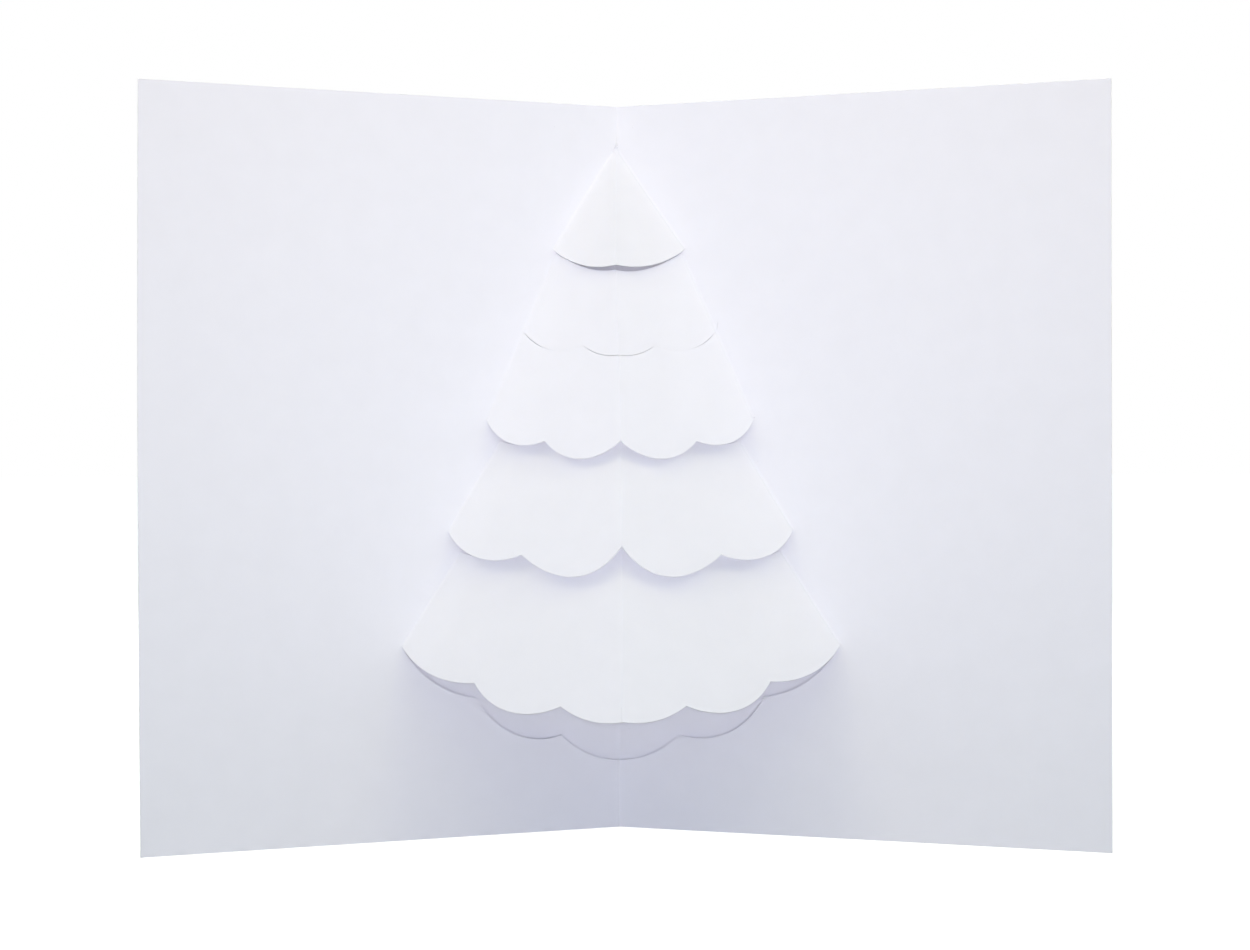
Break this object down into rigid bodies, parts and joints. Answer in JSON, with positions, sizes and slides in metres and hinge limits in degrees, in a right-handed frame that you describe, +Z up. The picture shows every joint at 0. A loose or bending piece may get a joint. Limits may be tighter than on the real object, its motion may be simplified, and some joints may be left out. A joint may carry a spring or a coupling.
{
  "type": "pop up card",
  "caption": "Blank white folded card that stands open, with a scalloped fir tree cut and folded forward from its inner sheet.",
  "frame": {"origin": "on the surface that the card stands on, under the middle of its bounding box", "axes": "+Z up along the spine, -Y towards the side that the card opens to, +X to the reader's right"},
  "size_m": [0.2634, 0.0674, 0.21],
  "materials": {
    "inner_card": "matt uncoated white card",
    "cover_card": "matt uncoated white card"
  },
  "bodies": {
    "root": {"inner_sheet": "inner_card", "cover_sheet": "cover_card"}
  },
  "joints": []
}
